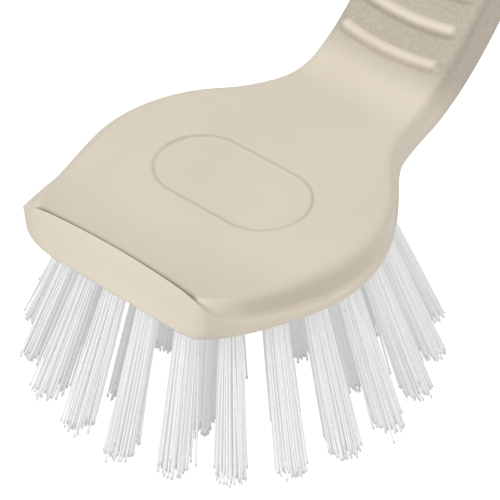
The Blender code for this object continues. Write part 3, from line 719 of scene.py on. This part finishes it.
def tuft_mesh(name, mouth, axis, seed):
    """One tuft: each filament is a tube along a quadratic curve, from a sunflower layout in the hole to the
    same layout, spread and shaken, at the tips, which end in a small bead at seeded heights."""
    rng = np.random.default_rng(seed)
    u, v = (np.array(d) for d in square_to(axis))
    down, mouth = np.array(axis), np.array(mouth)
    i = np.arange(filaments)
    reach = np.sqrt((i + 0.5) / filaments)
    angle = i * math.pi * (3 - math.sqrt(5)) + rng.uniform(0, math.tau)
    disc = (reach * np.cos(angle))[:, None] * u + (reach * np.sin(angle))[:, None] * v
    shake = rng.normal(0, shake_deviation, (filaments, 2))
    stray = (rng.random(filaments) < stray_share)[:, None]
    shake = np.where(stray, rng.normal(0, stray_deviation, (filaments, 2)), shake)
    start = mouth + disc * root_radius - down * root_depth
    run = mouth[2] / -down[2]
    end = mouth + down * run + disc * root_radius * tip_spread + shake[:, :1] * u + shake[:, 1:] * v
    height = bead_radius + np.abs(rng.normal(0, tip_deviation, filaments)) * tip_ragged
    end += down * ((end[:, 2] - height) / -down[2])[:, None]
    bow = rng.normal(0, bow_deviation, (filaments, 2))
    pull = mix(start, end, 0.5) + bow[:, :1] * u + bow[:, 1:] * v
    t = np.array(ring_stops)[:, None, None]
    line = start * (1 - t) ** 2 + pull * (2 * t * (1 - t)) + end * t * t
    bead = bead_radius / filament_radius * rng.uniform(bead_least, bead_most, filaments)
    thin = [np.ones(filaments)] * ring_is_bead.index(1)
    girth = filament_radius * np.stack(thin + [bead, bead_end * bead])[..., None]
    a = np.arange(filament_sides) * math.tau / filament_sides
    ring = np.cos(a)[:, None] * u + np.sin(a)[:, None] * v
    points = (line[:, :, None] + girth[..., None] * ring).transpose(1, 0, 2, 3)
    number = np.arange(points[..., 0].size).reshape(points.shape[:3])
    turned = np.roll(number, -1, axis=2)
    quads = np.stack([number[:, :-1], turned[:, :-1], turned[:, 1:], number[:, 1:]], -1).reshape(-1, 4)
    caps = np.concatenate([number[:, 0, ::-1], number[:, -1]])
    strand = np.repeat(rng.random(filaments), number[0].size)
    cut_end = np.tile(np.repeat(ring_is_bead, filament_sides), filaments)
    faces = quads.tolist() + caps.tolist()
    return mesh_of(name, points.reshape(-1, 3), faces, strand=strand, cut_end=cut_end)


nylon_low, nylon_high, nylon_streak = (0.60, 0.60, 0.61), (0.66, 0.66, 0.66), (0.71, 0.71, 0.71)
end_grey, streak_waves, streak_most, end_most, nylon_glow = (0.42, 0.42, 0.43), 900, 0.15, 0.8, 0.20
streak_band, sheen_band, nylon_rough = (0.35, 0.7), (0.3, 0.7), (0.24, 0.38)


def white_nylon():
    """Drawn nylon: milky white that differs from filament to filament, with faint streaks and greyer ends.
    A faint glow stands for the light that scatters from strand to strand through the bundle."""
    nodes = Nodes("white_nylon", 0.34, IOR=1.53, Emission_Color=(1, 1, 1, 1), Emission_Strength=nylon_glow)
    streak = nodes.noise(streak_waves, 2)
    milky = nodes.tint(nodes.share("strand"), nylon_low, nylon_high)
    streaked = nodes.tint(nodes.graded(streak, *streak_band, to_high=streak_most), milky, nylon_streak)
    cut_end = nodes.graded(nodes.share("cut_end"), to_high=end_most)
    nodes.join(nodes.tint(cut_end, streaked, end_grey), "Base Color")
    nodes.join(nodes.graded(streak, *sheen_band, *nylon_rough), "Roughness")
    return nodes.material


nylon = white_nylon()
for number, (mouth, axis) in enumerate(tufts, 1):
    name = f"bristle_tuft_{number:02d}"
    add_piece(name, tuft_mesh(name, mouth, axis, number), nylon, "bristle", f"tuft_{number:02d}")


# Anchors: short flat pieces of drawn steel wire, one across the end of each outer hole, which hold the
# tufts in. Their CAD solids have the right shape and keep it; they get the wire's own finish.

steel_dark, steel_light = (0.50, 0.49, 0.47), (0.68, 0.67, 0.64)
wire_waves, line_strength, line_height = (900, 900, 9000), 0.2, 0.03 * mm
line_band, wire_rough = (0.3, 0.7), (0.28, 0.45)


def drawn_wire():
    """Drawn steel: fine lines along the wire, in shade, roughness and height."""
    nodes = Nodes("drawn_steel_wire", 0.35, Metallic=1)
    lines = nodes.noise(1, 3, nodes.add("ShaderNodeMapping", {0: nodes.place, 3: wire_waves}).outputs[0])
    nodes.join(nodes.tint(lines, steel_dark, steel_light), "Base Color")
    nodes.join(nodes.graded(lines, *line_band, *wire_rough), "Roughness")
    nodes.join(nodes.bump(lines, line_strength, line_height), "Normal")
    return nodes.material


wire = drawn_wire()
for name, anchor in frame["nodes"].items():
    if name.startswith("anchor_"):
        anchor.data.materials.clear()
        anchor.data.materials.append(wire)


# Studio: a plain pale floor under the bristle tips, a white room that lights from all round, a large soft
# lamp over the front left and a smaller one low on the right, and the camera at the photograph's angle.

floor_half, floor_colour, floor_seen, room_light = 3, (0.50, 0.50, 0.50), 0.80, 0.72


def seen_itself(tree):
    """One for a ray that shows the ground itself, to the camera, through glass or off gloss, else 0."""
    rays = tree.nodes.new("ShaderNodeLightPath").outputs
    seen = rays["Is Camera Ray"]
    for kind in ("Is Transmission Ray", "Is Glossy Ray"):
        larger = tree.nodes.new("ShaderNodeMath")
        larger.operation = "MAXIMUM"
        tree.links.new(seen, larger.inputs[0])
        tree.links.new(rays[kind], larger.inputs[1])
        seen = larger.outputs[0]
    return seen


paper = Nodes("pale_floor", 0.9, Base_Color=(*floor_colour, 1), Emission_Color=(1, 1, 1, 1))
glow = paper.add("ShaderNodeMath", {0: seen_itself(paper.tree), 1: floor_seen}, operation="MULTIPLY")
paper.join(glow.outputs[0], "Emission Strength")
floor_corners = floor_half * np.array(((-1, -1, 0), (1, -1, 0), (1, 1, 0), (-1, 1, 0)))
floor_mesh = mesh_of("floor", floor_corners, [(0, 1, 2, 3)])
floor_mesh.materials.append(paper.material)
floor = bpy.data.objects.new("floor", floor_mesh)
bpy.context.collection.objects.link(floor)

world = bpy.data.worlds.new("white_room")
bpy.context.scene.world = world
world.use_nodes = True
tree = world.node_tree
room = tree.nodes["Background"]
room.inputs["Color"].default_value = (1, 1, 1, 1)
level = tree.nodes.new("ShaderNodeMapRange")
tree.links.new(seen_itself(tree), level.inputs["Value"])
level.inputs["To Min"].default_value = room_light
level.inputs["To Max"].default_value = 1
tree.links.new(level.outputs[0], room.inputs["Strength"])


def soft_lamp(name, towards, distance, size, power):
    """Square area lamp at a distance from the head, in a direction, turned to face the head."""
    data = bpy.data.lights.new(name, "AREA")
    data.size, data.energy = size, power
    lamp = bpy.data.objects.new(name, data)
    towards = Vector(towards).normalized()
    lamp.location = head + towards * distance
    lamp.rotation_euler = towards.to_track_quat("Z", "Y").to_euler()
    bpy.context.collection.objects.link(lamp)


soft_lamp("lamp_over_front_left", (-0.66, 0.24, 0.72), distance=1.1, size=0.9, power=4.5)
soft_lamp("fill_lamp_low_right", (-0.60, -0.75, 0.28), distance=1.1, size=0.5, power=3.3)

photo_width, focal_length_in_pixels, sensor_width = 500, 2533, 36
camera_from_head = Vector((-267.62, -240.58, 287.68)) * mm
forward = Vector((0.57254, 0.50562, -0.64540)).normalized()
right = Vector((0.65825, -0.75278, -0.00581))
right = (right - forward * right.dot(forward)).normalized()
up = right.cross(forward)
lens = bpy.data.cameras.new("camera")
lens.sensor_width = sensor_width
lens.lens = focal_length_in_pixels / photo_width * sensor_width
lens.clip_start = 10 * mm
camera = bpy.data.objects.new("camera", lens)
place = Matrix((right, up, -forward)).transposed().to_4x4()
place.translation = head + camera_from_head
camera.matrix_world = place
bpy.context.collection.objects.link(camera)
bpy.context.scene.camera = camera
bpy.context.scene.view_settings.view_transform = "Standard"
